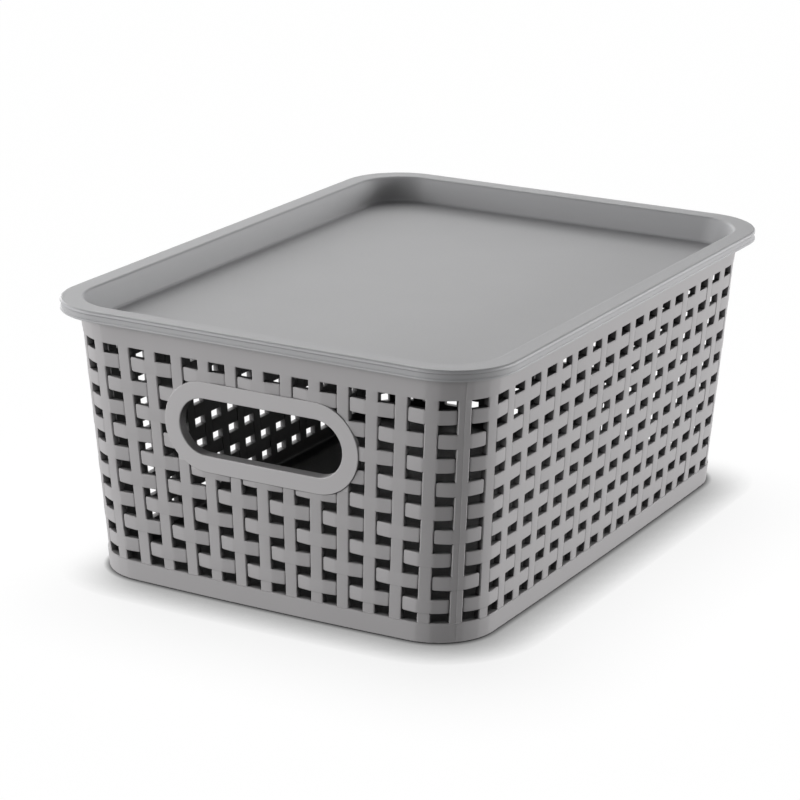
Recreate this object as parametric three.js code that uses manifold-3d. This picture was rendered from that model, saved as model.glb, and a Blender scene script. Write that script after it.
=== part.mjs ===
// Storage box in rattan-look plastic: an open-woven basket with a grip opening in each short end, and a tray lid
// that lifts off. Millimetres, +Z up, X across the width, Y along the length, the basket standing on Z = 0.

import * as THREE from "three";
import { mergeGeometries, mergeVertices } from "three/addons/utils/BufferGeometryUtils.js";
import Module from "manifold-3d";

const wasm = await Module();
wasm.setup();

// Basket, outside sizes
const baseWidth = 215; // at the foot
const baseLength = 306;
const basketHeight = 138.9; // to the top of the rim
const wallLean = 0.064; // how far every wall leans out for each millimetre of height
const cornerRadius = 30; // the same from foot to rim
const wall = 1.8;
const floor = 2;
const footEdge = 1.2; // slope round the foot
const rimReach = 5.2; // from the wall's outer face to the rim's edge
const rimThickness = 2;
const rimTurn = 3; // height in which the wall turns out into the rim

// Weave: rows of holes between horizontal strands, columns of holes between upright ones
const bottomBand = 10.3; // plain band below the weave
const topBand = 15.8; // plain band above it, rim included
const rowPitch = 12; // wanted: the rows share the height evenly
const strandHeight = 7.2;
const columnPitch = 16; // wanted: the columns share each wall evenly
const strandWidth = 6.4;
const facetMargin = 0.8; // flat left beside a hole in a rounded corner

// Grip openings, in the middle of the short walls
const gripWidth = 91.1;
const gripHeight = 29.2;
const gripBelowRim = 49.2; // from the rim's top to the middle of the opening
const surroundBand = 8.7; // flat ring round the opening
const surroundProud = 0.8;
const surroundRoot = 1.3; // how deep the ring goes into the wall
const surroundLand = 4; // no hole is centred closer to the ring than this
const lipDepth = 5; // turned-in lip of the opening, from the wall's outer face
const lipWall = 1.8;
const gripSegments = 8; // in each round end

// Lid
const lidCorner = 33; // outside corner radius of its rim; the tray's corners follow the basket's
const restGap = 0.3; // between faces that rest on each other
const skirtGap = 1; // round the basket's rim
const skirtWall = 1.6;
const skirtDrop = 3.6; // below the face that rests on the rim
const lidWall = 1.8;
const lidEdge = 1.3; // rounding of the top edges
const plugGap = 0.8; // between the tray's outside and the basket's wall
const trayDepth = 13.1;
const traySlope = 0.397; // how far the tray's wall leans in for each millimetre down
const trayFillet = 1.5; // where the tray's wall meets its floor
const bendSteps = 2; // facets in each rounded edge of the lid

const plastic = { roughness: 0.5, metalness: 0 };
const basketPlastic = new THREE.MeshStandardMaterial({ color: 0xa3a1a2, ...plastic });
const lidPlastic = new THREE.MeshStandardMaterial({ color: 0xa9a8a9, ...plastic });

const quarter = Math.PI / 2;
const lean = Math.atan(wallLean);
const gripHeightOnWall = basketHeight - gripBelowRim;

// Half the basket's outside width and length at a height
function halfSizes(z) {
  return { x: baseWidth / 2 + wallLean * z, y: baseLength / 2 + wallLean * z };
}

// The weave's rows, from the bottom up
const weaveHeight = basketHeight - topBand - bottomBand;
const rowCount = Math.max(1, Math.round((weaveHeight + strandHeight) / rowPitch));
const rowStep = (weaveHeight + strandHeight) / rowCount;
const holeHeight = rowStep - strandHeight;
const rowHeights = Array.from({ length: rowCount }, (_, row) => bottomBand + holeHeight / 2 + row * rowStep);

// The corner's columns stand at even turns between the two walls
const cornerSteps = Math.max(1, Math.round((cornerRadius * quarter) / columnPitch));
const cornerTurn = quarter / cornerSteps;
const cornerHole = cornerRadius * cornerTurn - strandWidth;
const facetHalfTurn = Math.min(Math.atan((cornerHole / 2 + facetMargin) / cornerRadius), 0.45 * cornerTurn);

// A corner's points: each column of holes gets one flat facet, each upright strand a narrower one
function cornerTurns() {
  const turns = [];
  for (let step = 0; step < cornerSteps; step += 1) {
    turns.push(step * cornerTurn + facetHalfTurn, (step + 1) * cornerTurn - facetHalfTurn);
  }
  return turns;
}

// The same points with another midway between each two, for the lid's rounder corners
function fineTurns() {
  const turns = cornerTurns();
  return turns.flatMap((turn, i) => (i === 0 ? [turn] : [(turns[i - 1] + turn) / 2, turn]));
}

// Rounded rectangle at height z, anticlockwise. A corner's first and last points stand out to the straight walls.
function outline(half, radius, turns, z) {
  const points = [];
  for (let corner = 0; corner < 4; corner += 1) {
    const [ahead, aside] = corner % 2 === 0 ? [half.x, half.y] : [half.y, half.x];
    const spin = new THREE.Matrix4().makeRotationZ(corner * quarter);
    turns.forEach((turn, i) => {
      const onWall = i === 0 || i === turns.length - 1;
      const reach = onWall ? radius / Math.max(Math.cos(turn), Math.sin(turn)) : radius;
      const x = ahead - radius + reach * Math.cos(turn);
      const y = aside - radius + reach * Math.sin(turn);
      points.push(new THREE.Vector3(x, y, z).applyMatrix4(spin));
    });
  }
  return points;
}

// Closed body through outlines with equally many points: the first is closed below, the last above
function loft(rings) {
  const count = rings[0].length;
  const indices = [];
  for (let ring = 0; ring < rings.length - 1; ring += 1) {
    for (let i = 0; i < count; i += 1) {
      const a = ring * count + i;
      const b = ring * count + ((i + 1) % count);
      indices.push(a, b, b + count, a, b + count, a + count);
    }
  }
  const last = (rings.length - 1) * count;
  for (let i = 1; i < count - 1; i += 1) {
    indices.push(0, i + 1, i, last, last + i, last + i + 1);
  }
  const geometry = new THREE.BufferGeometry().setFromPoints(rings.flat());
  geometry.setIndex(indices);
  return geometry;
}

function toSolid(geometry) {
  const bare = geometry.clone();
  bare.deleteAttribute("normal");
  bare.deleteAttribute("uv");
  const merged = mergeVertices(bare, 1e-4);
  const vertProperties = Float32Array.from(merged.getAttribute("position").array);
  const triVerts = Uint32Array.from(merged.getIndex().array);
  return new wasm.Manifold(new wasm.Mesh({ numProp: 3, vertProperties, triVerts }));
}

function toGeometry(solid) {
  const mesh = solid.getMesh();
  const geometry = new THREE.BufferGeometry();
  geometry.setAttribute("position", new THREE.BufferAttribute(mesh.vertProperties, mesh.numProp));
  geometry.setIndex(new THREE.BufferAttribute(mesh.triVerts, 1));
  geometry.computeVertexNormals();
  return geometry;
}

// Outline of the basket at height z, moved out from its outer face by offset
function basketRing(offset, z) {
  const half = halfSizes(z);
  return outline({ x: half.x + offset, y: half.y + offset }, cornerRadius + offset, cornerTurns(), z);
}

// Floor, walls and turned-out rim, before the weave is cut
function basketShell() {
  const rimUnder = basketHeight - rimThickness;
  return loft([
    basketRing(-footEdge, 0),
    basketRing(0, footEdge),
    basketRing(0, rimUnder - rimTurn),
    basketRing(rimReach, rimUnder),
    basketRing(rimReach, basketHeight),
    basketRing(rimTurn - wall, basketHeight),
    basketRing(-wall, basketHeight - rimTurn),
    basketRing(-wall, floor),
  ]);
}

// Whether a hole at (across, z) on a short wall would be covered or clipped by the grip's surround
function underSurround(across, z) {
  const radius = gripHeight / 2 + surroundBand;
  const straight = gripWidth / 2 + surroundBand - radius;
  const past = Math.max(0, Math.abs(across) - straight);
  return Math.hypot(past, z - gripHeightOnWall) < radius + surroundLand;
}

function holeCutter(width, x, y, z, turn) {
  const reach = 3 * wall;
  return new THREE.BoxGeometry(reach, width, holeHeight)
    .applyMatrix4(new THREE.Matrix4().makeRotationZ(turn).setPosition(x, y, z));
}

// Holes of one wall and of the corner after it, for one row. The wall faces +X before the quarter turns.
function wallHoles(side, z) {
  const half = halfSizes(z);
  const [ahead, aside] = side % 2 === 0 ? [half.x, half.y] : [half.y, half.x];
  const run = aside - cornerRadius;
  const topRun = run + wallLean * (rowHeights[rowCount - 1] - z);
  const steps = Math.max(1, Math.round((2 * topRun) / columnPitch));
  const step = (2 * run) / steps;
  const cutters = [];
  for (let column = 0; column <= steps; column += 1) {
    const across = column * step - run;
    if (side % 2 === 0 || !underSurround(across, z)) {
      cutters.push(holeCutter(step - strandWidth, ahead, across, z, 0));
    }
  }
  for (let column = 1; column < cornerSteps; column += 1) {
    const turn = column * cornerTurn;
    const x = ahead - cornerRadius + cornerRadius * Math.cos(turn);
    const y = run + cornerRadius * Math.sin(turn);
    cutters.push(holeCutter(cornerHole, x, y, z, turn));
  }
  return cutters.map((cutter) => cutter.rotateZ(side * quarter));
}

function weaveHoles() {
  const sides = [0, 1, 2, 3];
  return mergeGeometries(rowHeights.flatMap((z) => sides.flatMap((side) => wallHoles(side, z))));
}

// Slot-shaped bar through a short wall, from one depth behind its outer face to one in front of it
function gripBar(width, height, behind, front) {
  const radius = height / 2;
  const straight = width / 2 - radius;
  const shape = new THREE.Shape();
  shape.absarc(straight, 0, radius, -quarter, quarter);
  shape.absarc(-straight, 0, radius, quarter, 3 * quarter);
  const depth = behind + front;
  return new THREE.ExtrudeGeometry(shape, { depth, bevelEnabled: false, curveSegments: gripSegments / 2 })
    .translate(0, 0, -behind)
    .rotateX(quarter + lean)
    .translate(0, -halfSizes(gripHeightOnWall).y, gripHeightOnWall);
}

function basketGeometry() {
  const surround = gripBar(gripWidth + 2 * surroundBand, gripHeight + 2 * surroundBand, surroundRoot, surroundProud);
  const lip = gripBar(gripWidth + 2 * lipWall, gripHeight + 2 * lipWall, lipDepth, 0);
  const opening = gripBar(gripWidth, gripHeight, lipDepth + wall, surroundProud + wall);
  let basket = toSolid(basketShell()).subtract(toSolid(weaveHoles()));
  for (const turn of [0, Math.PI]) {
    const [ring, collar, cut] = [surround, lip, opening].map((bar) => toSolid(bar.clone().rotateZ(turn)));
    basket = basket.add(ring).add(collar).subtract(cut);
  }
  return toGeometry(basket);
}

// Outline of the lid at height z, moved in from its outer face by inset
function lidRing(inset, z) {
  const rim = halfSizes(basketHeight);
  const offset = rimReach + skirtGap + skirtWall - inset;
  const radius = inset > skirtWall ? cornerRadius + offset : lidCorner - inset;
  return outline({ x: rim.x + offset, y: rim.y + offset }, radius, fineTurns(), z);
}

// Rounded edge of the lid's section, from one point to another, bending at the corner between them
function bend(from, corner, to) {
  return new THREE.QuadraticBezierCurve(from, corner, to).getPoints(bendSteps);
}

function lidGeometry() {
  const seat = basketHeight + restGap;
  const top = seat + lidWall;
  const trayFloor = top - trayDepth;
  const underside = trayFloor - lidWall;
  const lip = seat - skirtDrop;
  const turnHeight = basketHeight - rimTurn; // where the basket's wall begins to turn out
  const lidToWall = rimReach + skirtGap + skirtWall + wall + wallLean * rimTurn;
  const plugInset = lidToWall + plugGap; // the tray's outside there
  const slopeWall = lidWall * Math.hypot(1, traySlope); // measured level
  const at = (inset, z) => new THREE.Vector2(inset, z);
  const outside = (z) => at(plugInset + traySlope * (turnHeight - z), z);
  const inside = (z) => at(outside(z).x + slopeWall, z);
  const section = [
    outside(underside),
    outside(seat),
    at(skirtWall, seat),
    at(skirtWall, lip),
    at(0, lip),
    ...bend(at(0, top - lidEdge), at(0, top), at(lidEdge, top)),
    ...bend(at(inside(top).x - lidEdge, top), inside(top), inside(top - lidEdge)),
    ...bend(inside(trayFloor + trayFillet), inside(trayFloor), at(inside(trayFloor).x + trayFillet, trayFloor)),
  ];
  return loft(section.map((point) => lidRing(point.x, point.y)));
}

function part(name, geometry, material) {
  const mesh = new THREE.Mesh(geometry, material);
  mesh.name = name;
  return mesh;
}

const box = new THREE.Group();
box.add(part("basket", basketGeometry(), basketPlastic));
box.add(part("lid", lidGeometry(), lidPlastic));

export default box;
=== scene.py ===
# %% [markdown]
# A storage box in rattan-look plastic. The real box is two injection mouldings in grey
# polypropylene: a basket whose walls look woven, and a tray lid that rests on its rim. Nothing on
# it is woven by hand, so every strand, groove and rounded edge below is a form that a steel mould
# gave it.
#
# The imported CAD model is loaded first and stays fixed. It says how big the box is and where its two
# bodies are. Its walls are flat facets, so a detailed piece of the same size is built here to stand
# for each body.

# %% Load the frame
import math

import bmesh
import bpy
import numpy as np
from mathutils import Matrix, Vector


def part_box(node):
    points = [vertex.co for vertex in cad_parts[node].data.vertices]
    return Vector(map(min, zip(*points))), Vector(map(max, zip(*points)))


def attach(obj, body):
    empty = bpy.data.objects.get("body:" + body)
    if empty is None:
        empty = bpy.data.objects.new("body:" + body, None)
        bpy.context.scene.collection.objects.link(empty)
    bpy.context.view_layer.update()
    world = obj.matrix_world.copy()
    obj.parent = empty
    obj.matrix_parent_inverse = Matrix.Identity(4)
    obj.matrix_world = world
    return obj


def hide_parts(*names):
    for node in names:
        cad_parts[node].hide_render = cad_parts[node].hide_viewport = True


MM = 0.001  # the sizes below are millimetres unless they say metres, Blender's unit

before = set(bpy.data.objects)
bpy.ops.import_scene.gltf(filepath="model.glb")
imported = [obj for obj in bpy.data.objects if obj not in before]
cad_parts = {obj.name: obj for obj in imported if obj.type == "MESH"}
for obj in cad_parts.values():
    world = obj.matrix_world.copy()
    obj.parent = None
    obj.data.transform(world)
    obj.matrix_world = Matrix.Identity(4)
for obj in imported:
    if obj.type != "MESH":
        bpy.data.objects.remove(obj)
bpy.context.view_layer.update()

# %% [markdown]
# The camera stands where the photographer stood: about 1.5 m from the box, 29 degrees round to the
# right of the grip end and 17.6 degrees above the table, with a long lens. A long lens keeps the
# box's edges nearly parallel. A camera could be placed by eye, but this one was fitted to the box's
# edges and holes in the photograph, so that the two pictures can be compared point by point. The
# small roll, half a degree, is what a camera levelled by eye would have.

# %% Camera
CAMERA_PLACE = Vector((696.4, -1270.2, 524.4)) * MM
CAMERA_AZIMUTH = math.radians(29.192)
CAMERA_ELEVATION = math.radians(17.6)
CAMERA_ROLL = math.radians(0.558)
CAMERA_LENS = 131.03
SENSOR_WIDTH = 36


def aim(target, back, roll=0.0):
    """Turns an object so that it looks against the direction back, rolled about that line."""
    target.rotation_mode = "QUATERNION"
    turn = (-back).to_track_quat("-Z", "Y").to_matrix()
    right, up = turn.col[0].copy(), turn.col[1].copy()
    turn.col[0] = right * math.cos(roll) + up * math.sin(roll)
    turn.col[1] = up * math.cos(roll) - right * math.sin(roll)
    target.rotation_quaternion = turn.to_quaternion()


def direction(azimuth, elevation):
    """Unit vector from the box to a place round it. Azimuth 0 is before the grip end, 90 at +X."""
    level = math.cos(elevation)
    return Vector((math.sin(azimuth) * level, -math.cos(azimuth) * level, math.sin(elevation)))


camera_data = bpy.data.cameras.new("photo_camera")
camera_data.sensor_width = SENSOR_WIDTH
camera_data.lens = CAMERA_LENS
camera = bpy.data.objects.new("photo_camera", camera_data)
bpy.context.scene.collection.objects.link(camera)
bpy.context.scene.camera = camera
camera.location = CAMERA_PLACE
aim(camera, direction(CAMERA_AZIMUTH, CAMERA_ELEVATION), CAMERA_ROLL)
print("camera distance in mm:", round(camera.location.length / MM))

# %% [markdown]
# The basket's height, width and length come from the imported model, so that the detailed basket
# fills the same space as the plain solid it stands for. Typing them in again would be quicker, but
# the two would drift apart when the model changes. The rest are the mould's own sizes. The rows
# share the height evenly.

# %% Sizes of the basket
WALL_LEAN = 0.064  # how far the walls lean out for each millimetre of height
RIM_REACH = 5.2  # how far the rim turns out
CORNER_RADIUS = 30.0
WALL = 1.8
FLOOR = 2.0
BOTTOM_BAND = 10.3  # the plain band below the weave
TOP_BAND = 15.8  # the plain band above it, with the rim
ROW_PITCH = 12.0
COLUMN_PITCH = 16.0
STRAND_HALF = 3.6  # half the height of a level strand
STRIP_HALF = 3.2  # half the width of an upright strip

_, basket_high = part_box("basket")
BASKET_HEIGHT = basket_high.z / MM
BASE_HALF_X = basket_high.x / MM - RIM_REACH - WALL_LEAN * BASKET_HEIGHT
BASE_HALF_Y = basket_high.y / MM - RIM_REACH - WALL_LEAN * BASKET_HEIGHT

woven_height = BASKET_HEIGHT - TOP_BAND - BOTTOM_BAND + 2 * STRAND_HALF
rows_of_holes = round(woven_height / ROW_PITCH)
row_step = woven_height / rows_of_holes
top_strand = BASKET_HEIGHT - TOP_BAND + STRAND_HALF  # middle of the strand hidden in the top band
print("rows of holes:", rows_of_holes, "step:", round(row_step, 2))

# %% [markdown]
# The moulded strands are fused where they cross. Separate curves laid over and under each other
# would be real basketry, but their ends would stick into each other, and the result would not be
# one closed body. So the basket is one closed mesh, made as a grid that is wrapped round the box.
# Its lines run up the wall and its rows run round it.
#
# Sides are numbered in quarter turns from +X. The columns of holes share each side evenly, and two
# more sit in each corner.

# %% Sides and corners
SIDES = (3, 0, 1, 2)  # the grip end, the long right side, the far end, the long left side
QUARTER = math.pi / 2
CORNER_COLUMNS = 2
CORNER_PITCH = CORNER_RADIUS * QUARTER / (CORNER_COLUMNS + 1)


def is_long(side):
    return side % 2 == 0


def half_sizes(z):
    """Half the basket's outside width and length at a height."""
    return BASE_HALF_X + WALL_LEAN * z, BASE_HALF_Y + WALL_LEAN * z


def ahead_and_run(side, z):
    """How far a side's face is from the middle, and half the length of its flat stretch."""
    half_x, half_y = half_sizes(z)
    ahead = np.where(is_long(side), half_x, half_y)
    aside = np.where(is_long(side), half_y, half_x)
    return ahead, aside - CORNER_RADIUS


def columns_of(side):
    """Columns of holes on a side: one at each end of its flat stretch, the rest evenly between."""
    _, run = ahead_and_run(side, top_strand - row_step / 2)
    return round(2 * float(run) / COLUMN_PITCH) + 1


print("columns of holes on each side:", [columns_of(side) for side in SIDES])

# %% [markdown]
# A line is stored as two numbers: a share of the wall's flat run and a distance in millimetres. The
# run grows with height because the walls lean, so a line keeps its place beside its strip all the
# way up. Plain coordinates would need a new list for every height. Beyond the flat run the distance
# goes round the arc of the corner. Extra lines lie where the surface bends: along the rounded edges
# of each strip, beside it where a strand dives under it, and on the fine parting line that the
# mould left down each corner.

# %% Lines up the wall
EDGE_WIDTH = 0.45  # of the rounding along every strand and strip
HOLE_OFFSETS = (0.12, 0.5, 1.25)  # lines beside each strip, where the strand dives under it
PARTING_HALF = 0.22  # half the width of the parting line
PARTING_STRIP = 1  # the middle one of a corner's three strips


def strips_of(side):
    """Middles of a side's strips and of those in the corner after it, which are numbered."""
    gaps = columns_of(side) - 1
    made = [(2 * i / gaps - 1 + 1 / gaps, 0.0, None) for i in range(gaps)]
    for number in range(CORNER_COLUMNS + 1):
        made.append((1.0, number * CORNER_PITCH + CORNER_PITCH / 2, number))
    return made


def strip_offsets(in_corner):
    """Lines of a strip, from its middle: edges, feet of the rounded edges, and a corner's extra."""
    extra = [] if in_corner is None else [0.0]
    if in_corner == PARTING_STRIP:
        extra = [-PARTING_HALF, 0.0, PARTING_HALF]
    return [-STRIP_HALF, EDGE_WIDTH - STRIP_HALF, *extra, STRIP_HALF - EDGE_WIDTH, STRIP_HALF]


def lines_of(side, columns_before):
    """Lines of a side and the corner after it: each column's hole, then the strip to its right."""
    made = []
    left = (-1.0, STRIP_HALF - CORNER_PITCH / 2)
    for number, (share, shift, in_corner) in enumerate(strips_of(side), start=1):
        right = (share, shift - STRIP_HALF)
        common = dict(side=side, column=columns_before + number, left=left, right=right)
        across_hole = [(left[0], left[1] + d) for d in HOLE_OFFSETS]
        across_hole += [((left[0] + right[0]) / 2, (left[1] + right[1]) / 2)]
        across_hole += [(right[0], right[1] - d) for d in reversed(HOLE_OFFSETS)]
        made += [dict(common, place=place, hole=True, edge=False, ridge=0.0)
                 for place in across_hole]
        for d in strip_offsets(in_corner):
            ridge = float(in_corner == PARTING_STRIP and d == 0)
            made.append(dict(common, place=(share, shift + d), hole=False,
                             edge=abs(d) == STRIP_HALF, ridge=ridge))
        left = (share, shift + STRIP_HALF)
    return made


print("lines of the grip end and one corner:", len(lines_of(SIDES[0], 0)))

# %% All lines round the basket
lines = []
for each_side in SIDES:
    lines += lines_of(each_side, max((entry["column"] for entry in lines), default=0))


def of_lines(key):
    """One fact of every line, as an array."""
    return np.array([entry[key] for entry in lines])


line_count = len(lines)
line_side, line_column = of_lines("side"), of_lines("column")
line_in_hole, line_on_edge, line_ridge = of_lines("hole"), of_lines("edge"), of_lines("ridge")
line_share, line_shift = of_lines("place").T
left_share, left_shift = of_lines("left").T
right_share, right_shift = of_lines("right").T
print("lines round the basket:", line_count, "columns of holes:", line_column.max())

# %% [markdown]
# Each row of the grid has a height and stands some distance out from the wall's plain outer face.
# Going up outside, over the rim and down inside gives the whole section of the moulding: rounded
# foot, bottom band, strands, top band, the rim that turns out over the last three millimetres, and
# the inner face down to the floor. A Solidify modifier could give a single sheet its thickness, but
# here the inside has its own shape.
#
# A strand has five rows outside, so that its long edges can be rounded, and two inside, where it is
# seen only with the lid off. The weave is nearly twice as thick as the plain bands, and stands in
# behind them.

# %% Sizes of the section
BAND_PROUD = 0.55  # how far the bottom band stands out beyond the strips
TOP_BAND_PROUD = 0.1
FOOT_ROUND = 0.6
FLOOR_FILLET = 1.5
RIM_THICKNESS = 2.0
RIM_TURN = 3.0  # the height over which the rim turns out
RIM_TURN_SHARES = (0.0, 0.3, 0.6, 0.85, 1.0)  # how far round its turn each row under the rim is
RIM_ROUND = 0.5
INNER_WEAVE = 1.5  # how far the weave stands in beyond the plain wall
ROUND_STEPS = 3  # of the foot and of the floor's fillet

rim_under = BASKET_HEIGHT - RIM_THICKNESS


def row_at_height(z, out, strand=None, offset=0.0):
    """A row. Offset is its height above the middle of its strand."""
    return dict(z=z, out=out, strand=strand, offset=offset)


def strand_middle(strand):
    return top_strand - row_step * strand


def strand_rows(strand, offsets, out):
    """Rows of a strand. The first and the last one keep only the half that no band hides."""
    free_side = {0: -1, rows_of_holes: 1}.get(strand)
    return [row_at_height(strand_middle(strand) + offset, out, strand, offset)
            for offset in offsets if free_side is None or offset * free_side > 0]


def quarter_turns():
    return [QUARTER * step / ROUND_STEPS for step in range(ROUND_STEPS + 1)]


print("middle of the top strand in mm:", round(strand_middle(0), 1))

# %% Rows of the section
rows = [row_at_height(FOOT_ROUND * (1 - math.cos(turn)),
                      BAND_PROUD - FOOT_ROUND * (1 - math.sin(turn))) for turn in quarter_turns()]
edge_offsets = (-STRAND_HALF, EDGE_WIDTH - STRAND_HALF, 0.0, STRAND_HALF - EDGE_WIDTH, STRAND_HALF)
for number in range(rows_of_holes, -1, -1):
    rows += strand_rows(number, edge_offsets, 0.0)
rim_turns = [QUARTER * share for share in RIM_TURN_SHARES]
rows += [row_at_height(rim_under - RIM_TURN * (1 - math.sin(turn)),
                       RIM_REACH * (1 - math.cos(turn))) for turn in rim_turns]
rows += [
    row_at_height(BASKET_HEIGHT - RIM_ROUND, RIM_REACH),
    row_at_height(BASKET_HEIGHT, RIM_REACH - RIM_ROUND),
    row_at_height(BASKET_HEIGHT, RIM_TURN - WALL + RIM_ROUND),
    row_at_height(BASKET_HEIGHT - RIM_ROUND / 2, RIM_TURN - WALL - RIM_ROUND / 2),
    row_at_height(BASKET_HEIGHT - RIM_TURN, -WALL),
]
first_inside = len(rows)
for number in range(rows_of_holes + 1):
    rows += strand_rows(number, (STRAND_HALF, -STRAND_HALF), -WALL - INNER_WEAVE)
rows += [row_at_height(FLOOR + FLOOR_FILLET * (1 - math.sin(turn)),
                       -WALL - FLOOR_FILLET * (1 - math.cos(turn))) for turn in quarter_turns()]
print("rows of the section:", len(rows), "of which inside:", len(rows) - first_inside)

# %% [markdown]
# The weave is a relief of about a millimetre. A strand passes over every second strip: there it
# stands a little proud and runs on without a break. At the strips between, it dives: it sinks below
# the strip, its end is rounded, and a narrow groove parts it from the strip's edge. The next strand
# does the same one strip further on, which gives the basket pattern. All edges beside a hole are
# rounded.
#
# A bump in the material could draw all this, but it has no outline and is lost from the exported
# mesh. So the relief moves the grid's own points: out from the wall, and up or down where the end
# of a strand is rounded.

# %% Sizes of the relief
OVER = 0.28  # height of a strand that passes over a strip
UNDER = -0.5  # height of a strand where it reaches the strip it passes under
DIVE = -0.7  # how much further it drops in its last stretch
DIVE_LENGTH = 0.8
LONG_SIDE_DEPTH = 0.3  # the long sides are moulded flatter: their share of the depths above
EDGE_DROP = -0.4  # how far a rounded edge lies back
CROWN = 0.05  # how far a strand stands out more in its middle
END_ROUND = 1.0  # corner radius of a strand's end
LONG_SIDE_END_ROUND = 0.5
INNER_GROOVE = 0.8  # depth of the groove inside, as a share of INNER_WEAVE

depth_share = np.where(is_long(line_side), LONG_SIDE_DEPTH, 1.0)
end_round = np.where(is_long(line_side), LONG_SIDE_END_ROUND, END_ROUND)


def across(share, shift, side, z):
    """Distance along a side from its middle, round the corner's arc beyond its flat stretch."""
    _, run = ahead_and_run(side, z)
    return share * run + shift


def end_cut(distance):
    """How much a strand's end loses of its half height, by the rounding of its corners."""
    inner = np.clip(end_round - distance, 0, end_round)
    return end_round - np.sqrt(end_round**2 - inner**2)


def dive_at(distance):
    """1 beside the strip that a strand passes under, falling to 0 where its dive begins."""
    return np.clip(1 - distance / DIVE_LENGTH, 0, 1) ** 2


print("deepest groove in mm:", -(UNDER + DIVE))


# %% Relief of one row
def relief(row):
    """How far out and how far up the points of one row go, for every line."""
    strand, offset = row["strand"], row["offset"]
    flat = np.full(line_count, row["out"])
    if strand is None:
        return flat, np.zeros(line_count)
    here = across(line_share, line_shift, line_side, row["z"])
    to_left = here - across(left_share, left_shift, line_side, row["z"])
    to_right = across(right_share, right_shift, line_side, row["z"]) - here
    passes_over = (line_column + strand) % 2 == 1  # the strip to the right of this column
    from_dive = np.where(passes_over, to_left, to_right)
    from_over = to_left + to_right - from_dive
    in_band = strand in (0, rows_of_holes)
    is_free = line_in_hole & (not in_band)
    up = np.where(is_free, -np.sign(offset) * end_cut(from_dive), 0.0)
    if row["out"] < 0:
        return flat + INNER_GROOVE * INNER_WEAVE * np.where(is_free, dive_at(from_over), 0.0), up
    share = np.clip(from_dive / (to_left + to_right), 0, 1)
    rise = UNDER + (OVER - UNDER) * share * share * (3 - 2 * share)
    bridge = depth_share * (rise + DIVE * dive_at(from_dive))
    crossing = np.where(passes_over, OVER * depth_share, 0.0)
    crossing = np.where(line_on_edge & ~passes_over, EDGE_DROP, crossing)
    if offset == 0:
        bridge = bridge + CROWN
        crossing = crossing + np.where(passes_over, CROWN, 0.0)
    if in_band:
        bridge = crossing = np.full(line_count, BAND_PROUD if strand else TOP_BAND_PROUD)
    if abs(offset) == STRAND_HALF:
        bridge = bridge + EDGE_DROP
        crossing = np.where(line_on_edge, EDGE_DROP, 0.0)
    return np.where(line_in_hole, bridge, crossing), up


print("rows with a relief:", sum(row["strand"] is not None for row in rows))

# %% [markdown]
# Every row is now turned into points. A side is worked out as if it faced +X, and then turned to
# where it belongs. The ridge of the parting line is added outside: it is what the gap between two
# halves of the mould leaves on the real box. A Curve could be laid there, but it would be a piece
# of its own, so it is part of the wall.

# %% Points of the grid
PARTING_RIDGE = 0.14  # height of the parting line


def place_on_side(side, along, z, out):
    """Points of the wall: straight within a side's flat stretch, beyond it round the corner."""
    ahead, run = ahead_and_run(side, z)
    turn = (np.clip(along, -run, run) - along) / -CORNER_RADIUS
    x = ahead - CORNER_RADIUS + (CORNER_RADIUS + out) * np.cos(turn)
    y = np.clip(along, -run, run) + (CORNER_RADIUS + out) * np.sin(turn)
    cos, sin = np.cos(side * QUARTER), np.sin(side * QUARTER)
    return np.stack([x * cos - y * sin, x * sin + y * cos, z], axis=-1)


def points_of(row, outside):
    """The points of one row. Outside, the parting line is a ridge between foot and rim."""
    out, up = relief(row)
    if outside and FOOT_ROUND <= row["z"] <= rim_under - RIM_TURN:
        out = out + PARTING_RIDGE * line_ridge
    along = across(line_share, line_shift, line_side, row["z"])
    return place_on_side(line_side, along, row["z"] + up, out)


points = np.concatenate([points_of(row, index < first_inside) for index, row in enumerate(rows)])
print("grid points:", len(points), "widest in mm:", round(float(np.ptp(points[:, 0])), 1))

# %% [markdown]
# The faces follow from the grid. Where a hole belongs, the outer and the inner faces are left out,
# and a band of faces joins the two. The real holes are where steel pins of the mould kept the
# plastic out. Some 600 holes could be cut with booleans, but that would be slow and could leave
# ragged faces. The pins are missing under the grip's flat surround, so the wall stays closed there.

# %% Grip sizes
GRIP_WIDTH = 91.1
GRIP_HEIGHT = 29.2
GRIP_BELOW_RIM = 49.2  # from the basket's top to the middle of the opening
SURROUND_BAND = 8.7
SURROUND_PROUD = 0.8
HIDDEN_MARGIN = 0.5  # a hole is left out only if it is this far inside the surround's outline

grip_z = BASKET_HEIGHT - GRIP_BELOW_RIM


def under_surround(along, z):
    """True if a point of a short side lies well inside the surround's outline."""
    radius = GRIP_HEIGHT / 2 + SURROUND_BAND
    straight = GRIP_WIDTH / 2 + SURROUND_BAND - radius
    past = np.maximum(np.abs(along) - straight, 0)
    return np.hypot(past, z - grip_z) < radius - HIDDEN_MARGIN


def is_open(column, upper_strand):
    """True if a column has a hole below this strand."""
    first = np.flatnonzero(line_column == column)[0]
    side = line_side[first]
    if is_long(side):
        return True
    z = strand_middle(upper_strand) - row_step / 2
    ends = [across(share[first], shift[first], side, z)
            for share, shift in ((left_share, left_shift), (right_share, right_shift))]
    half_hole = row_step / 2 - STRAND_HALF
    corners = [(along, z + sign * half_hole) for along in ends for sign in (-1, 1)]
    return not all(under_surround(*corner) for corner in corners)


print("middle of the grip at", round(grip_z, 1), "mm")

# %% Faces of the grid
row_index = {(row["strand"], row["offset"], index >= first_inside): index
             for index, row in enumerate(rows) if row["strand"] is not None}
is_face = np.ones((len(rows) - 1, line_count), dtype=bool)


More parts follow.
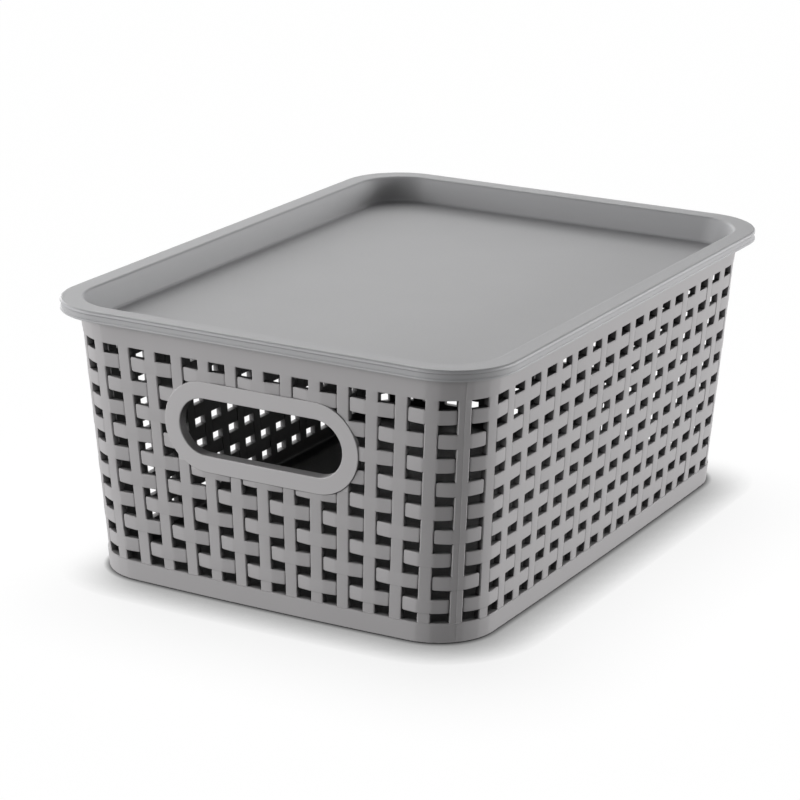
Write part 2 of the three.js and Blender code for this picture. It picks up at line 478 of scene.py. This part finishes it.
def point_at(row, line):
    """Number of a point of the grid. The line after the last one is the first."""
    return row * line_count + line % line_count


def hole_walls(start, end, low, top):
    """Faces through the wall round a hole. Low and top each are an outer and an inner row."""
    edges = []
    for line in range(start, end):
        edges += [(low, line, low, line + 1), (top, line + 1, top, line)]
    edges += [(top, start, low, start), (low, end, top, end)]
    return [[point_at(a[0], line_a), point_at(b[0], line_b),
             point_at(b[1], line_b), point_at(a[1], line_a)] for a, line_a, b, line_b in edges]


def open_column(column):
    """Takes the faces over a column's holes out, and returns the faces through the wall."""
    made = []
    in_column = np.flatnonzero((line_column == column) & line_in_hole)
    start, end = in_column[0] - 1, in_column[-1] + 1
    opened = np.arange(start, end) % line_count
    for strand in range(rows_of_holes):
        if is_open(column, strand):
            low, top = [(row_index[number, offset, False], row_index[number, offset, True])
                        for number, offset in ((strand + 1, STRAND_HALF), (strand, -STRAND_HALF))]
            is_face[low[0], opened] = False
            is_face[top[1], opened] = False
            made += hole_walls(start, end, low, top)
    return made


hole_faces = [face for column in range(1, line_column.max() + 1) for face in open_column(column)]
faces = [[point_at(row, line), point_at(row, line + 1),
          point_at(row + 1, line + 1), point_at(row + 1, line)]
         for row, line in np.argwhere(is_face)]
faces += hole_faces
faces.append([point_at(0, line) for line in reversed(range(line_count))])
faces.append([point_at(len(rows) - 1, line) for line in range(line_count)])
print("faces of the basket:", len(faces))


# %% The basket as a mesh
def mesh_object(name, vertices, face_list):
    """A mesh object from points in millimetres."""
    mesh = bpy.data.meshes.new(name)
    mesh.from_pydata((np.asarray(vertices) * MM).tolist(), [], face_list)
    mesh.update()
    made = bpy.data.objects.new(name, mesh)
    bpy.context.scene.collection.objects.link(made)
    return made


basket = mesh_object("basket_moulding", points, faces)
print("made", basket.name, "with", len(basket.data.vertices), "points")

# %% [markdown]
# The grip is a slot with round ends. Round it lies a flat surround that stands a little proud of
# the weave, and its opening has a turned-in lip, so that no thin edge meets the fingers. Bevelled
# cylinders and boxes could be joined into that shape, but every radius would depend on the one
# before. Here its section is drawn once, as a closed loop, and carried round the slot's outline.

# %% Outline of the slot
ARC_STEPS = 40
STRAIGHT_STEPS = 12


def slot_outline(offset):
    """Points round a slot larger than the grip by offset, anticlockwise seen from outside."""
    radius = GRIP_HEIGHT / 2 + offset
    straight = (GRIP_WIDTH - GRIP_HEIGHT) / 2
    turns = np.linspace(-QUARTER, QUARTER, ARC_STEPS + 1)
    right = np.stack([straight + radius * np.cos(turns), radius * np.sin(turns)], axis=-1)
    top = np.linspace(straight, -straight, STRAIGHT_STEPS + 1)[1:-1]
    top = np.stack([top, np.full(len(top), radius)], axis=-1)
    return np.concatenate([right, top, -right, -top])


def on_wall(outline, depth, end):
    """Puts a flat outline on a short wall, at a depth out from its face.

    End is -1 for the front wall and 1 for the far one.
    """
    lean = math.atan(WALL_LEAN)
    _, half_y = half_sizes(grip_z)
    x, up = outline[:, 0], outline[:, 1]
    out_y = half_y + up * math.sin(lean) + depth * math.cos(lean)
    z = grip_z + up * math.cos(lean) - depth * math.sin(lean)
    return np.stack([-end * x, end * out_y, z], axis=-1)


print("points round the slot:", len(slot_outline(0)))

# %% Section of the surround
LIP_DEPTH = 5.0
LIP_WALL = 1.8
MOUTH_ROUND = 0.6  # where the surround's face turns into the opening
OUTER_ROUND = 0.45
LIP_ROUND = 0.5
BEHIND_WALL = 0.05  # the surround's back lies just behind the plain wall's inner face


def arc(centre, radius, start, end, steps=4):
    """Points of an arc in a section, from one angle to another in degrees."""
    turns = np.radians(np.linspace(start, end, steps + 1))
    return [(centre[0] + radius * math.cos(turn), centre[1] + radius * math.sin(turn))
            for turn in turns]


surround_back = -WALL - BEHIND_WALL
surround_section = [  # distance from the slot's edge, and height over the wall's face
    (SURROUND_BAND, surround_back),
    *arc((SURROUND_BAND - OUTER_ROUND, SURROUND_PROUD - OUTER_ROUND), OUTER_ROUND, 0, 90),
    *arc((MOUTH_ROUND, SURROUND_PROUD - MOUTH_ROUND), MOUTH_ROUND, 90, 180, steps=6),
    *arc((LIP_ROUND, LIP_ROUND - LIP_DEPTH), LIP_ROUND, 180, 270),
    *arc((LIP_WALL - LIP_ROUND, LIP_ROUND - LIP_DEPTH), LIP_ROUND, 270, 360),
    (LIP_WALL, surround_back),
]
print("points of one surround's section:", len(surround_section))


# %% Plugs and surrounds
def loft(rings, closed):
    """Points and faces of a loft through rings of equally many points.

    A closed loft ends where it began, and an open one has caps.
    """
    size = len(rings[0])
    total = len(rings) * size
    made = []
    for ring in range(len(rings) if closed else len(rings) - 1):
        for i in range(size):
            a, b = ring * size + i, ring * size + (i + 1) % size
            made.append([a, b, (b + size) % total, (a + size) % total])
    if not closed:
        made.append(list(reversed(range(size))))
        made.append(list(range(total - size, total)))
    return np.concatenate(rings), made


def both_ends(section, closed):
    """The same loft on the front and on the far wall, as one list of points and faces."""
    vertices, made = [], []
    for end in (-1, 1):
        rings = [on_wall(slot_outline(offset), depth, end) for offset, depth in section]
        ring_points, ring_faces = loft(rings, closed)
        made += [[index + sum(map(len, vertices)) for index in face] for face in ring_faces]
        vertices.append(ring_points)
    return np.concatenate(vertices), made


plug_section = [(LIP_WALL / 2, -LIP_DEPTH - WALL), (LIP_WALL / 2, 2 * WALL)]
plugs = mesh_object("grip_plugs", *both_ends(plug_section, False))
surrounds = mesh_object("grip_surrounds", *both_ends(surround_section[::-1], True))
print("faces of both surrounds:", len(surrounds.data.polygons))

# %% [markdown]
# A plug first cuts the weave away behind each opening, and then the surround is joined to the wall.
# The grid could be bent round the slot instead, but a boolean keeps its lines straight. Blender's
# manifold solver does both steps cleanly because every body here is closed.


# %% Join the surrounds to the basket
def boolean(target, operation, other):
    """Joins or cuts a closed body, and deletes the other one."""
    modifier = target.modifiers.new(operation.lower(), "BOOLEAN")
    modifier.operation = operation
    modifier.solver = "MANIFOLD"
    modifier.object = other
    evaluated = target.evaluated_get(bpy.context.evaluated_depsgraph_get())
    result = bpy.data.meshes.new_from_object(evaluated)
    target.modifiers.clear()
    target.data = result
    bpy.data.objects.remove(other)


boolean(basket, "DIFFERENCE", plugs)
boolean(basket, "UNION", surrounds)
print("faces after joining the surrounds:", len(basket.data.polygons))

# %% [markdown]
# Large thin mouldings never come out quite flat. As the plastic cools, the corners pull in and the
# walls bow out a little between them. That is about a millimetre here, and it is one of the things
# that tell a real moulding from a drawing. A lattice could bend the mesh, but a formula says in
# millimetres how much. The rim stays true because it is the stiffest part, so the bow fades out
# under it.

# %% Bow of the walls
CORNER_PULL = (0.8, 0.5)  # how far the walls move in at the corners: long sides, short sides
WALL_BOW = (1.0, 1.2)  # how far the middle of a wall bows out from there
BOW_ENDS = 124.0  # the bow is whole up to this height
BOW_GONE = 135.0  # and gone from here up


def bowed(place):
    """Points of the basket after its walls have bowed."""
    x, y, z = place.T
    half_x, half_y = half_sizes(z)
    share_x = np.clip(x / (half_x - CORNER_RADIUS), -1, 1)
    share_y = np.clip(y / (half_y - CORNER_RADIUS), -1, 1)
    amount = np.clip((BOW_GONE - z) / (BOW_GONE - BOW_ENDS), 0, 1)
    move_x = amount * (WALL_BOW[0] * (1 - share_y**2) - CORNER_PULL[0])
    move_y = amount * (WALL_BOW[1] * (1 - share_x**2) - CORNER_PULL[1])
    return np.stack([x * (1 + move_x / half_x), y * (1 + move_y / half_y), z], axis=-1)


coordinates = np.empty(3 * len(basket.data.vertices))
basket.data.vertices.foreach_get("co", coordinates)
before_bow = coordinates.reshape(-1, 3) / MM
after_bow = bowed(before_bow)
basket.data.vertices.foreach_set("co", (after_bow * MM).ravel())
basket.data.update()
print("largest move in mm:", round(float(np.abs(after_bow - before_bow).max()), 2))

# %% [markdown]
# The lid is the plain half of the box. Its section starts under the tray, goes out under the rim to
# the skirt that drops over the basket, over the rounded edge and the flat rim, and down the sloping
# side of the tray to its floor. Every change of direction is a small radius: moulded edges are
# never sharp, and these radii are the bright lines that draw the lid. A Bevel modifier gives all
# edges one radius. Here each corner of the section has its own, and the section is then carried
# round the lid.

# %% Sizes of the lid
LID_WALL = 1.8
SKIRT_WALL = 1.6
SKIRT_GAP = 1.0  # between the basket's rim and the skirt
SKIRT_DROP = 3.6  # how far the skirt hangs below the underside of the rim
LID_EDGE = 1.3  # rounding along both edges of the rim
PLUG_GAP = 0.8  # between the basket's wall and the tray
TRAY_DEPTH = 13.1
TRAY_SLOPE = 0.397  # how far the tray's side moves in for each millimetre of depth
TRAY_FILLET = 1.5
LIP_BEAD = 0.8  # height of the bead along the skirt's lower edge
BEAD_PROUD = 0.45  # how far the bead, and the rounded edge above it, stand out from the skirt
PARTING_DROP = 1.55  # from the lid's top to the step where the two halves of its mould met

_, lid_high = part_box("lid")
LID_HALF_X, LID_HALF_Y, LID_TOP = (v / MM for v in lid_high)
seat = LID_TOP - LID_WALL
tray_floor = LID_TOP - TRAY_DEPTH
underside = tray_floor - LID_WALL
lip_z = seat - SKIRT_DROP
turn_height = BASKET_HEIGHT - RIM_TURN
plug_inset = RIM_REACH + SKIRT_GAP + SKIRT_WALL + WALL + WALL_LEAN * RIM_TURN + PLUG_GAP
slope_wall = LID_WALL * math.hypot(1, TRAY_SLOPE)
print("lid in mm:", round(2 * LID_HALF_X, 1), "by", round(2 * LID_HALF_Y, 1))


# %% Section of the lid
def tray_outside(z):
    return Vector((plug_inset + TRAY_SLOPE * (turn_height - z), z))


def tray_inside(z):
    return tray_outside(z) + Vector((slope_wall, 0))


def bend(before, corner, after, radius, steps=5):
    """A rounded corner of the section: a curve that leaves both sides equally far from it."""
    start = corner + (before - corner).normalized() * radius
    end = corner + (after - corner).normalized() * radius
    shares = [i / steps for i in range(steps + 1)]
    return [start * (1 - s) ** 2 + corner * 2 * s * (1 - s) + end * s * s for s in shares]


lid_corners = [  # inset and height of each corner, and its rounding
    (tray_outside(underside), 1.8),
    (tray_outside(seat), 0.8),
    (Vector((SKIRT_WALL, seat)), 0.5),
    (Vector((SKIRT_WALL, lip_z)), 0.3),
    (Vector((0, lip_z)), 0.25),
    (Vector((0, lip_z + LIP_BEAD)), 0.25),
    (Vector((BEAD_PROUD, lip_z + LIP_BEAD + BEAD_PROUD)), 0.1),
    (Vector((BEAD_PROUD, LID_TOP - PARTING_DROP - BEAD_PROUD)), 0.1),
    (Vector((0, LID_TOP - PARTING_DROP)), 0.12),
    (Vector((0, LID_TOP)), LID_EDGE),
    (tray_inside(LID_TOP), LID_EDGE),
    (tray_inside(tray_floor), TRAY_FILLET),
]
under_middle = Vector((LID_HALF_X / 2, underside))
floor_middle = Vector((LID_HALF_X / 2, tray_floor))
path = [under_middle, *[corner for corner, _ in lid_corners], floor_middle]
lid_section = []
for previous, (middle, rounding), following in zip(path, lid_corners, path[2:]):
    lid_section += bend(previous, middle, following, rounding)
print("points of the lid's section:", len(lid_section))

# %% The lid as a mesh
LID_CORNER = 35.0  # of the rim, outside
TRAY_CORNER = CORNER_RADIUS + RIM_REACH + SKIRT_GAP + SKIRT_WALL  # as the basket's, further out
LID_ARC_STEPS = 28


def rounded_rectangle(half_x, half_y, radius, z):
    """Points round a rounded rectangle, anticlockwise from above."""
    turns = np.linspace(0, QUARTER, LID_ARC_STEPS + 1)
    pieces = []
    for corner in range(4):
        ahead, aside = (half_x, half_y) if corner % 2 == 0 else (half_y, half_x)
        x = ahead - radius + radius * np.cos(turns)
        y = aside - radius + radius * np.sin(turns)
        cos, sin = math.cos(corner * QUARTER), math.sin(corner * QUARTER)
        height = np.full(len(turns), z)
        pieces.append(np.stack([x * cos - y * sin, x * sin + y * cos, height], axis=-1))
    return np.concatenate(pieces)


def lid_ring(inset, z):
    """The lid's outline at a height, moved in from its outer face by an inset."""
    corner = LID_CORNER if inset < 2 * SKIRT_WALL else TRAY_CORNER
    return rounded_rectangle(LID_HALF_X - inset, LID_HALF_Y - inset, corner - inset, z)


lid = mesh_object("lid_moulding", *loft([lid_ring(*point) for point in lid_section], False))
print("faces of the lid:", len(lid.data.polygons))

# %% [markdown]
# Both mouldings are shaded smooth, with real creases only where the steel had them: at an angle of
# more than 42 degrees. Smooth shading alone would bend the light across the flat faces too.
# Weighted normals keep them flat, so that the light rolls over the small radii alone.

# %% Smooth shading
CREASE = math.radians(42)


def shade(target):
    """Smooth shading with creases, and normals that follow the large faces."""
    body = bmesh.new()
    body.from_mesh(target.data)
    for face in body.faces:
        face.smooth = True
    for edge in body.edges:
        edge.smooth = edge.calc_face_angle(math.pi) < CREASE
    body.to_mesh(target.data)
    body.free()
    weighted = target.modifiers.new("flat_faces_stay_flat", "WEIGHTED_NORMAL")
    weighted.keep_sharp = True


for moulding in (basket, lid):
    shade(moulding)
    creased = sum(edge.use_edge_sharp for edge in moulding.data.edges)
    print("creased edges of", moulding.name, creased)

# %% [markdown]
# The finish is moulded polypropylene, a waxy, slightly soft-looking plastic. Its mould was lightly
# etched, so it has a satin sheen and no sharp reflection. One grey with one roughness would look
# like paint. Two things keep it from that: a fine grain from the etched steel, in the roughness and
# the bump, and very slight clouds of lighter and darker grey where the melt flowed. The real grain
# is about 0.15 mm, finer than one pixel here, so it is drawn at 0.8 mm, which is as coarse as it
# needs to be to show.

# %% Colours and nodes
def linear(hex_colour):
    """An sRGB hex colour as Blender's linear red, green, blue and alpha."""
    channels = [int(hex_colour[i:i + 2], 16) / 255 for i in (1, 3, 5)]
    return [c / 12.92 if c <= 0.04045 else ((c + 0.055) / 1.055) ** 2.4 for c in channels] + [1.0]


def add(tree, kind, inputs=None, **settings):
    """Adds a node. Inputs are values, or outputs of other nodes to link, by name or by number."""
    made = tree.nodes.new(kind)
    for name, value in settings.items():
        setattr(made, name, value)
    for name, value in (inputs or {}).items():
        if isinstance(value, bpy.types.NodeSocket):
            tree.links.new(value, made.inputs[name])
        else:
            made.inputs[name].default_value = value
    return made


def new_material(name):
    """An empty material and its node tree."""
    made = bpy.data.materials.new(name)
    made.use_nodes = True
    made.node_tree.nodes.clear()
    return made, made.node_tree


print("white in linear light:", linear("#ffffff"))

# %% [markdown]
# Through its holes, the inside of the closed basket looks almost black, because every ray that gets
# in loses light at each grey wall that it meets. A darker paint inside would stay dark with the lid
# off. So the shade is painted into the base colour instead: an Ambient Occlusion node measures how
# much of the surroundings a point can see, within a reach, and the painted shade follows it: none
# where that share is the upper number of openness or more, and darkest at the lower number. The
# outer face of a wall sees about half of them and keeps its colour. Under the lid, the inside sees
# little and is painted dark, and the painted shade lifts by itself the further the lid is away.
#
# The lid has the same painted shade with a short reach, for the soft shade on the walls of its
# tray. Its level floor, which faces straight up, is spared from it.

# %% Moulded polypropylene
CLOUD_SIZE = 40.0
CLOUD_DETAIL = 3.0
GRAIN_SIZE = 0.8
GRAIN_DETAIL = 2.0
GRAIN_RANGE = (0.3, 0.7)  # nearly all of the noise lies between these
PP_IOR = 1.49  # typical of polypropylene, which is no metal
# samples of the Ambient Occlusion node that paints the shade into the base colour
PAINTED_SHADE_SAMPLES = 32
MIX_A, MIX_B, MIX_RESULT = 6, 7, 2  # the colour sockets of Blender's Mix node


def moulded_polypropylene(name, greys, roughness, sheen, grain_depth,
                          reach, openness, darkest, level_spared):
    """Satin polypropylene: near greys in clouds, the etched steel's grain, and shade painted into
    hollows.
    """
    material, tree = new_material(name)
    texture_space = add(tree, "ShaderNodeTexCoord").outputs
    clouds = add(tree, "ShaderNodeTexNoise", {
        "Vector": texture_space["Object"], "Scale": 1 / (CLOUD_SIZE * MM), "Detail": CLOUD_DETAIL})
    grain = add(tree, "ShaderNodeTexNoise", {
        "Vector": texture_space["Object"], "Scale": 1 / (GRAIN_SIZE * MM), "Detail": GRAIN_DETAIL})
    grey = add(tree, "ShaderNodeMix", {
        "Factor": clouds.outputs["Fac"], MIX_A: linear(greys[0]), MIX_B: linear(greys[1])},
        data_type="RGBA")
    # painted shade: the grey is darkened where this Ambient Occlusion node finds few open
    # surroundings
    seen = add(tree, "ShaderNodeAmbientOcclusion", {"Distance": reach * MM},
               samples=PAINTED_SHADE_SAMPLES)
    upward = add(tree, "ShaderNodeSeparateXYZ", {"Vector": texture_space["Normal"]})
    deepest = add(tree, "ShaderNodeMath", {
        0: upward.outputs["Z"], 1: (1 - darkest) * level_spared, 2: darkest},
        operation="MULTIPLY_ADD")
    painted_shade = add(tree, "ShaderNodeMapRange", {
        "Value": seen.outputs["AO"], "From Min": openness[0], "From Max": openness[1],
        "To Min": deepest.outputs["Value"]})
    colour = add(tree, "ShaderNodeVectorMath", {
        0: grey.outputs[MIX_RESULT], "Scale": painted_shade.outputs["Result"]}, operation="SCALE")
    gloss = add(tree, "ShaderNodeMapRange", {
        "Value": grain.outputs["Fac"], "From Min": GRAIN_RANGE[0], "From Max": GRAIN_RANGE[1],
        "To Min": roughness[0], "To Max": roughness[1]})
    bump = add(tree, "ShaderNodeBump", {
        "Height": grain.outputs["Fac"], "Distance": grain_depth * MM, "Strength": 1.0})
    surface = add(tree, "ShaderNodeBsdfPrincipled", {
        "Base Color": colour.outputs["Vector"], "Roughness": gloss.outputs["Result"],
        "Normal": bump.outputs["Normal"], "IOR": PP_IOR, "Specular IOR Level": sheen})
    add(tree, "ShaderNodeOutputMaterial", {"Surface": surface.outputs["BSDF"]})
    return material


print("grains per metre:", round(1 / (GRAIN_SIZE * MM)))

# %% [markdown]
# The steel was not finished alike all over. The weave came off etched steel and looks flattest. The
# grip's surround came off polished steel, so it is smoother; its greys are also painted lighter than
# the weave's, a painted sheen for the extra light its smoother face gives back. The lid is in
# between. One material with a mask could hold all three, but three are easier to tell apart.

# %% The three finishes
# painted shade in the base colour: AO reach in mm, openness range, darkest share, and how far a face
# that looks up is spared
BASKET_PAINTED_SHADE = dict(reach=350.0, openness=(0.18, 0.44), darkest=0.05, level_spared=0.0)
LID_PAINTED_SHADE = dict(reach=30.0, openness=(0.45, 1.0), darkest=0.35, level_spared=1.0)

basket_plastic = moulded_polypropylene(
    "moulded_polypropylene_basket", ("#aeacad", "#b4b2b3"), roughness=(0.46, 0.56), sheen=0.2,
    grain_depth=0.012, **BASKET_PAINTED_SHADE)
# the surround's lighter greys are a painted sheen: it is the same plastic as the weave
surround_plastic = moulded_polypropylene(
    "moulded_polypropylene_surround", ("#b9b7b8", "#bdbbbc"), roughness=(0.36, 0.42), sheen=0.5,
    grain_depth=0.006, **BASKET_PAINTED_SHADE)
lid_plastic = moulded_polypropylene(
    "moulded_polypropylene_lid", ("#a9a9ab", "#afafb1"), roughness=(0.42, 0.52), sheen=0.5,
    grain_depth=0.010, **LID_PAINTED_SHADE)
print("materials:", [made.name for made in (basket_plastic, surround_plastic, lid_plastic)])

# %% [markdown]
# The polished surround is part of the basket's mesh, so it can't have a material slot by name.
# Faces could be picked by hand, but the numbers would be lost with the next change. So they are
# found by place: inside the outline of the surround and as far out as its face.

# %% Put the finishes on
FACE_MARGIN = 0.15  # a face of the surround may lie this much behind its flat front

basket.data.materials.clear()
for finish in (basket_plastic, surround_plastic):
    basket.data.materials.append(finish)
lid.data.materials.append(lid_plastic)

centres = np.empty(3 * len(basket.data.polygons))
basket.data.polygons.foreach_get("center", centres)
centre_x, centre_y, centre_z = centres.reshape(-1, 3).T / MM
past_straight = np.maximum(np.abs(centre_x) - (GRIP_WIDTH - GRIP_HEIGHT) / 2, 0)
from_slot = np.hypot(past_straight, centre_z - grip_z) - GRIP_HEIGHT / 2
face_out = np.abs(centre_y) - half_sizes(centre_z)[1]
is_surround = from_slot < SURROUND_BAND - OUTER_ROUND
is_surround &= face_out > SURROUND_PROUD - CORNER_PULL[1] - FACE_MARGIN
basket.data.polygons.foreach_set("material_index", is_surround.astype(int))
print("faces with the polished finish:", int(is_surround.sum()))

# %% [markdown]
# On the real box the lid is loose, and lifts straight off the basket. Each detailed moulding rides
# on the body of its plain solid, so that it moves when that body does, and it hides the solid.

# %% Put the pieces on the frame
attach(basket, "basket")
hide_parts("basket")
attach(lid, "lid")
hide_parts("lid")
print("pieces:", basket.name, "and", lid.name)

# %% [markdown]
# The box stands in a white room. A brighter lamp could burn a grey background out to white, but it
# would burn out the box as well. So the world is white only to the rays that see it: those from the
# camera, and those that come off gloss or through something clear. To all other rays it is black,
# so only the lamps and the table light the box.


# %% White room
def seeing_rays(tree):
    """1 for the rays that see the room: the camera's, mirrored, or through something clear."""
    rays = add(tree, "ShaderNodeLightPath").outputs
    mirrored = add(tree, "ShaderNodeMath", {
        0: rays["Is Camera Ray"], 1: rays["Is Glossy Ray"]}, operation="MAXIMUM")
    either = add(tree, "ShaderNodeMath", {
        0: mirrored.outputs["Value"], 1: rays["Is Transmission Ray"]}, operation="MAXIMUM")
    return either.outputs["Value"]


world = bpy.data.worlds.new("white_room")
world.use_nodes = True
bpy.context.scene.world = world
room_tree = world.node_tree
room_tree.nodes.clear()
room = add(room_tree, "ShaderNodeBackground", {
    "Color": linear("#ffffff"), "Strength": seeing_rays(room_tree)})
add(room_tree, "ShaderNodeOutputWorld", {"Surface": room.outputs["Background"]})
bpy.context.scene.view_settings.view_transform = "Standard"
print("world:", world.name)

# %% [markdown]
# The table is a matt white sheet, such as studios roll out under a product. A plain white surface
# would carry a dark shadow and throw all its light up at the box. Here most of its white glows by
# itself, which keeps the shade as light as in a bright studio. Onto that glow, Ambient Occlusion
# paints a soft shadow round the foot that leans away from the light, and a thin dark painted line
# where the wall meets the table. To the rays that don't see it, the table is a grey that gives back
# only a third of that light.

# %% Table
FLOOR_SIZE = 8.0  # metres
FLOOR_WHITE = "#fefefe"  # as the camera sees it
FLOOR_BOUNCE = "#979797"  # as the box sees it
SHADOW_SHARE = 0.12  # how much of the table's white comes from its lamp, and is lost in full shadow
# reach in mm, strength, and the open side that the painted shadow leans away from
FOOT_SHADE = (26.0, 1.15, direction(math.radians(-135), math.radians(20)))
# painted shadow too: a thin dark line right under the wall
CONTACT_SHADE = (3.5, 1.6, Vector((0, 0, 1)))  # the thin dark line right under the wall
SHADE_SAMPLES = 16


def shade_near(tree, reach, strength, towards):
    """A painted shade: 1 in the open, falling where something within reach stands over it."""
    leaning = add(tree, "ShaderNodeCombineXYZ", dict(zip("XYZ", towards)))
    seen = add(tree, "ShaderNodeAmbientOcclusion", {
        "Distance": reach * MM, "Normal": leaning.outputs["Vector"]}, samples=SHADE_SAMPLES)
    left_over = add(tree, "ShaderNodeMath", {
        0: seen.outputs["AO"], 1: strength}, operation="POWER")
    return left_over.outputs["Value"]


def partly_lit(tree, colour):
    """A surface that mostly glows by itself and takes the rest of its light from lamps."""
    glow = add(tree, "ShaderNodeEmission", {"Color": colour})
    lit = add(tree, "ShaderNodeBsdfDiffuse", {"Color": colour})
    mixed = add(tree, "ShaderNodeMixShader", {
        0: SHADOW_SHARE, 1: glow.outputs["Emission"], 2: lit.outputs["BSDF"]})
    return mixed.outputs["Shader"]


white_table, table_tree = new_material("white_table")
# the camera's white is painted darker round the foot: a painted shadow from the two factors
foot_shade = add(table_tree, "ShaderNodeMath", {
    0: shade_near(table_tree, *FOOT_SHADE), 1: shade_near(table_tree, *CONTACT_SHADE)},
    operation="MULTIPLY")
shaded_white = add(table_tree, "ShaderNodeVectorMath", {
    0: linear(FLOOR_WHITE)[:3], "Scale": foot_shade.outputs["Value"]}, operation="SCALE")
table_surface = add(table_tree, "ShaderNodeMixShader", {
    0: seeing_rays(table_tree), 1: partly_lit(table_tree, linear(FLOOR_BOUNCE)),
    2: partly_lit(table_tree, shaded_white.outputs["Vector"])})
add(table_tree, "ShaderNodeOutputMaterial", {"Surface": table_surface.outputs["Shader"]})

half_floor = FLOOR_SIZE / 2 / MM
table_corners = [(-half_floor, -half_floor, 0), (half_floor, -half_floor, 0),
                 (half_floor, half_floor, 0), (-half_floor, half_floor, 0)]
table = mesh_object("table", table_corners, [(0, 1, 2, 3)])
table.data.materials.append(white_table)
print("table:", FLOOR_SIZE, "m square, nodes:", len(table_tree.nodes))

# %% [markdown]
# Product photographs of grey plastic are lit from behind and from the sides: the light grazes the
# lid and draws every edge, while the near corner, which no lamp faces, stays the darkest part and
# gives the box its shape. One big lamp over the camera would be simpler, but everything would look
# flat.
#
# A table that is lit by the same lamps would show their long shadows. So the lamps light the box
# alone, and the table has a broad light of its own, high up at the back left, so that the box's
# soft shadow falls to the front and right; the painted shadow round the foot leans the same way.
# Blender does this with light linking: a lamp lights only what is in its receiver collection.

# %% Lamps
LAMP_DISTANCE = 2.2  # metres
LAMP_SIZE = 1.0  # metres
WHITE_ENERGY = (math.pi * LAMP_DISTANCE) ** 2  # watts; lights a white card facing it to white
LAMPS = {  # azimuth and elevation in degrees, and energy as a share of WHITE_ENERGY
    "left_softbox": (-60, 12, 0.47),
    "front_left_softbox": (-30, 12, 0.37),
    "back_left_softbox": (-120, 12, 0.26),
    "high_left_softbox": (-120, 35, 0.14),
    "high_back_softbox": (-150, 35, 0.17),
    "right_softbox": (120, 3, 1.08),
    "back_right_softbox": (150, 12, 0.2),
}
SUN_AZIMUTH = -142
SUN_ELEVATION = 72
SUN_SOFTNESS = 36
SUN_LEVEL = 1.05  # 1 lights a white card that lies on the table to white


def receivers(name, objects):
    """A collection that a lamp is limited to."""
    made = bpy.data.collections.new(name)
    for member in objects:
        made.objects.link(member)
    return made


def place_lamp(name, kind, azimuth, elevation, energy, lit):
    """A lamp that is aimed at the box and lights only the objects in the collection lit."""
    data = bpy.data.lights.new(name, kind)
    data.energy = energy
    lamp = bpy.data.objects.new(name, data)
    bpy.context.scene.collection.objects.link(lamp)
    back = direction(math.radians(azimuth), math.radians(elevation))
    lamp.location = back * LAMP_DISTANCE
    aim(lamp, back)
    lamp.light_linking.receiver_collection = lit
    return data


the_box = receivers("lit_by_the_softboxes", [basket, lid])
for lamp_name, (lamp_azimuth, lamp_elevation, level) in LAMPS.items():
    softbox = place_lamp(lamp_name, "AREA", lamp_azimuth, lamp_elevation,
                         level * WHITE_ENERGY, the_box)
    softbox.size = LAMP_SIZE

sun_energy = SUN_LEVEL * math.pi / math.sin(math.radians(SUN_ELEVATION))
the_table = receivers("lit_by_the_sun", [table])
sun = place_lamp("table_sun", "SUN", SUN_AZIMUTH, SUN_ELEVATION, sun_energy, the_table)
sun.angle = math.radians(SUN_SOFTNESS)
